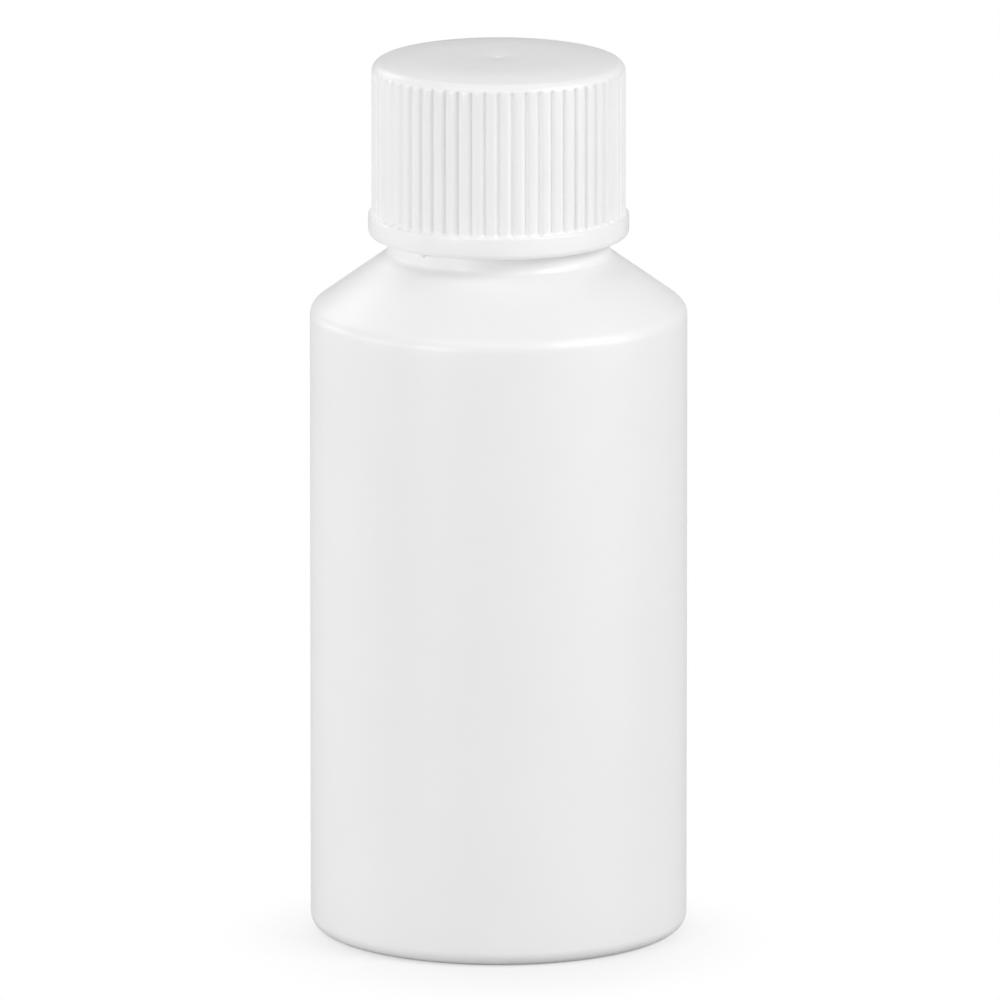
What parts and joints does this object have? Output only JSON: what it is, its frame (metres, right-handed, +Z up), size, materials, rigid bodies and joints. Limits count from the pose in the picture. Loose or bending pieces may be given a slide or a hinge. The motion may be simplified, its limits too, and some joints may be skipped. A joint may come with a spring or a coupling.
{
  "type": "round plastic pharmacy bottle with screw cap",
  "caption": "Small round white plastic bottle with a sloping shoulder, a threaded neck and a ribbed screw cap that turns and lifts off on its thread.",
  "frame": {"origin": "centre of the ring that the bottle stands on", "axes": "+Z up along the axis of the bottle and its cap; -Y is the front, towards the picture's camera"},
  "size_m": [0.046, 0.046, 0.1084],
  "materials": {
    "bottle_plastic": "blown polyethylene, opaque white, satin",
    "cap_plastic": "moulded polypropylene, opaque white, soft gloss",
    "liner_foam": "closed-cell foam disc, off-white, matt"
  },
  "bodies": {
    "bottle": {"bottle": "bottle_plastic"},
    "cap_disc": {"cap_liner": "liner_foam"},
    "cap": {"screw_cap": "cap_plastic"}
  },
  "joints": [
    {"name": "cap_lift", "type": "slide", "parent": "bottle", "child": "cap_disc", "axis": [0, 0, 1], "range_m": [0, 0.0211]},
    {"name": "cap_turn", "type": "hinge", "parent": "cap_disc", "child": "cap", "pos_m": [0, 0, 0.1], "axis": [0, 0, 1], "range_deg": [0, 1800]}
  ],
  "couplings": [
    {"joint": "cap_lift", "follows": "cap_turn", "m_per_rad": 0.00066845}
  ]
}
